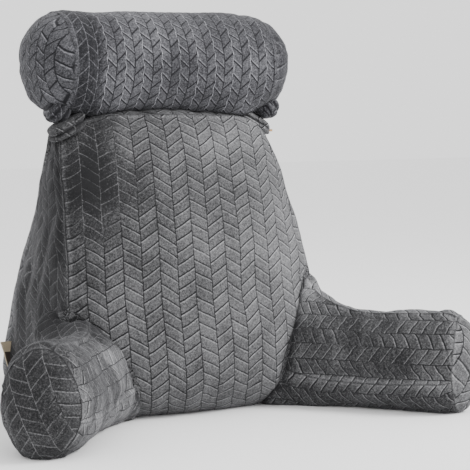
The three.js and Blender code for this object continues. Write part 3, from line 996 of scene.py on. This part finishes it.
def plush(name, light, dark, weave, ridge=0.0, pale_line=1.6, stitch=0.2, shadow=0.4):
    """Embossed plush. Narrow lines follow the same herringbone as the puffs of the skin.

    weave is the column width, the spacing of the puffs and their slant. ridge is how raised every second
    column edge is and how much lighter it is painted, a painted highlight. pale_line is how much lighter the
    lines of every second column are painted than the others, a painted highlight, and shadow how dark the
    painted shade on the lip above those is; the lip below the other lines gets a painted highlight. stitch is
    how dark the thread in the seams is, and a band beside each seam gets a painted highlight. Where the pile
    and the painted shade lie dark, every line is light. The colour goes from dark to light with
    (1 - share)^TONE_CURVE.
    """
    column, pitch, rise = weave
    w = Wiring(name)
    cloth = w.node("ShaderNodeSeparateXYZ")
    w.put(cloth.inputs[0], w.node("ShaderNodeUVMap", uv_map="cloth").outputs[0])
    shake = w.mul(w.sub(w.noise(0.012), 0.5), 0.0016)
    u, v = w.add(cloth.outputs[0], shake), w.add(cloth.outputs[1], w.mul(shake, -1.3))
    column_number = w.math("FLOOR", w.div(u, column))
    across = w.sub(w.sub(w.div(u, column), column_number), 0.5)
    odd = w.math("FLOORED_MODULO", column_number, 2)
    way = w.sub(1, w.mul(odd, 2))
    phase = w.sub(w.div(w.sub(v, w.mul(w.mul(way, rise), across)), pitch), w.mul(odd, 0.5))
    slope = 1 / math.hypot(1, rise / column)
    off = w.mul(w.sub(w.math("FRACT", w.add(phase, 0.5)), 0.5), pitch * slope)
    to_edge = w.mul(w.sub(0.5, w.math("ABSOLUTE", across)), column)
    line = w.bell(off, LINE_WIDTH)
    upright = w.bell(to_edge, EDGE_WIDTH)
    below = w.bell(w.add(off, 2.0 * LINE_WIDTH), 1.3 * LINE_WIDTH)
    above = w.bell(w.sub(off, 2.0 * LINE_WIDTH), 1.3 * LINE_WIDTH)
    seam = w.attribute("seam")
    fade = w.math("MINIMUM", w.mul(seam, 400), 1)
    stitched = w.bell(seam, STITCH_WIDTH)
    lips = w.bell(w.sub(seam, 0.004), 0.0025)
    puff_tone = w.node("ShaderNodeTexWhiteNoise", noise_dimensions="2D")
    which = w.node("ShaderNodeCombineXYZ")
    w.put(which.inputs[0], column_number)
    w.put(which.inputs[1], w.math("FLOOR", phase))
    w.put(puff_tone.inputs["Vector"], which.outputs[0])

    fibre = w.noise(FIBRE_SIZE, 3.0)
    tufts = w.noise(TUFT_SIZE, 3.0)
    patches = w.noise(PATCH_SIZE, 4.0, (1, 1, 0.6))
    # This attribute brings in the pile's dark patches together with each cushion's painted light and shade.
    share = w.add(w.attribute("nap_and_shade"), NAP_REST)
    share = w.add(share, w.mul(w.sub(patches, 0.5), 0.4))
    share = w.add(share, w.mul(w.sub(tufts, 0.5), 0.8))
    share = w.add(share, w.mul(w.sub(fibre, 0.5), 1.1))
    share = w.add(share, w.mul(w.sub(puff_tone.outputs["Value"], 0.5), 0.08))
    # Painted highlight: the lines of every second column are painted pale by pale_line.
    lines = w.mul(line, w.sub(1.15, w.mul(odd, pale_line)))
    # Painted highlight: the lip below each line of the other columns is painted lighter.
    marks = w.sub(lines, w.mul(w.mul(below, 0.40), w.sub(1, odd)))
    # Painted shade: the lip above each pale line is painted darker, by shadow.
    marks = w.add(marks, w.mul(w.mul(above, shadow), odd))
    marks = w.add(marks, w.mul(upright, 0.7))
    jog = w.mul(w.math("SINE", w.mul(v, 2 * math.pi / pitch)), 0.0006)
    in_pair = w.sub(w.math("FRACT", w.add(w.div(u, 2 * column), 0.5)), 0.5)
    ridge_off = w.sub(w.mul(in_pair, 2 * column), jog)
    # Painted highlight: every second column edge on the roll's wall is raised and painted lighter.
    bright = w.mul(w.bell(ridge_off, RIDGE_WIDTH), w.mul(w.noise(0.003), 2.4 * ridge))
    bright = w.mul(bright, w.math("LESS_THAN", u, 1.0))
    marks = w.sub(marks, w.mul(bright, 0.85))
    turned = w.between(w.mul(w.sub(w.attribute("nap_and_shade"), 0.2), 4.0), 0.0, 1.0)
    pale = w.mul(w.add(line, upright), -0.40)
    marks = w.add(w.mul(marks, w.sub(1, turned)), w.mul(pale, turned))
    marks = w.mul(marks, fade)
    # The thread in the seams is dark; a band beside each seam is painted lighter, a painted highlight.
    marks = w.sub(w.add(marks, w.mul(stitched, stitch)), w.mul(lips, 0.1))
    share = w.between(w.add(share, marks), -0.6, 1.0)
    tone = w.math("POWER", w.sub(1, share), TONE_CURVE)
    w.put(w.shader.inputs["Base Color"], w.blend(tone, dark, light))

    height = w.mul(w.mul(line, -LINE_DEPTH), fade)
    height = w.sub(height, w.mul(w.mul(upright, EDGE_DEPTH), fade))
    height = w.add(height, w.mul(bright, RIDGE_HEIGHT))
    pile = w.add(w.mul(w.sub(fibre, 0.5), FIBRE_HEIGHT), w.mul(w.sub(tufts, 0.5), TUFT_HEIGHT))
    height = w.add(height, pile)
    bump = w.node("ShaderNodeBump")
    bump.inputs["Distance"].default_value = 1.0
    bump.inputs["Strength"].default_value = 0.8
    w.put(bump.inputs["Height"], height)
    w.put(w.shader.inputs["Normal"], bump.outputs[0])
    w.put(w.shader.inputs["Roughness"], w.add(0.8, w.mul(fibre, 0.15)))
    w.shader.inputs["Sheen Weight"].default_value = 0.11
    w.shader.inputs["Sheen Roughness"].default_value = 0.4
    w.shader.inputs["Sheen Tint"].default_value = (0.85, 0.85, 0.9, 1)
    w.shader.inputs["Specular IOR Level"].default_value = 0.25
    return w.material


body_plush = plush("body_plush", (0.222, 0.222, 0.229), (0.008, 0.008, 0.009), (COLUMN, PITCH, RISE))
roll_plush = plush("roll_plush", (0.225, 0.225, 0.244), (0.007, 0.007, 0.009),
                   (ROLL_COLUMN, ROLL_PITCH, ROLL_RISE), ridge=1.0, pale_line=0.1, stitch=0.0, shadow=0.0)
for made in (back_cushion, arm_right, arm_left, *straps):
    made.data.materials.append(body_plush)
for made in (neck_roll, *tails):
    made.data.materials.append(roll_plush)


def woven(name, colour, edge_colour, thread):
    """A woven tape of crossing threads. With an edge colour, its ends, fold and upper part are paler."""
    w = Wiring(name)
    place = w.node("ShaderNodeSeparateXYZ")
    w.put(place.inputs[0], w.node("ShaderNodeTexCoord").outputs["Object"])
    across = w.math("SINE", w.mul(place.outputs[0], 2 * math.pi / thread))
    up = w.math("SINE", w.mul(place.outputs[2], 2 * math.pi / thread))
    weave = w.mul(across, up)
    shade = w.add(w.mul(weave, 0.15), w.mul(w.noise(0.002), 0.5))
    colour_here = w.blend(shade, colour, tuple(0.6 * c for c in colour))
    if edge_colour is not None:
        cloth = w.node("ShaderNodeSeparateXYZ")
        w.put(cloth.inputs[0], w.node("ShaderNodeUVMap", uv_map="cloth").outputs[0])
        from_end = w.math("MINIMUM", cloth.outputs[1], w.sub(1, cloth.outputs[1]))
        from_fold = w.math("ABSOLUTE", w.sub(cloth.outputs[0], 0.5))
        at_end, at_fold = w.math("LESS_THAN", from_end, 0.05), w.math("LESS_THAN", from_fold, 0.13)
        upper = w.math("GREATER_THAN", cloth.outputs[1], 0.72)
        border = w.math("MAXIMUM", w.math("MAXIMUM", at_end, at_fold), upper)
        colour_here = w.blend(border, colour_here, edge_colour)
    w.put(w.shader.inputs["Base Color"], colour_here)
    bump = w.node("ShaderNodeBump")
    bump.inputs["Distance"].default_value = 1.0
    w.put(bump.inputs["Height"], w.mul(weave, 0.0001))
    w.put(w.shader.inputs["Normal"], bump.outputs[0])
    w.put(w.shader.inputs["Roughness"], w.add(0.75, w.mul(weave, 0.1)))
    return w.material


side_label.data.materials.append(woven("label_cloth", (0.045, 0.03, 0.022), (0.5, 0.42, 0.3), 0.0009))
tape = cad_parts["tape_end"]
tape_material = woven("tape_cloth", (0.45, 0.27, 0.13), None, 0.0008)
for slot in tape.material_slots:
    slot.material = tape_material
print("materials assigned")
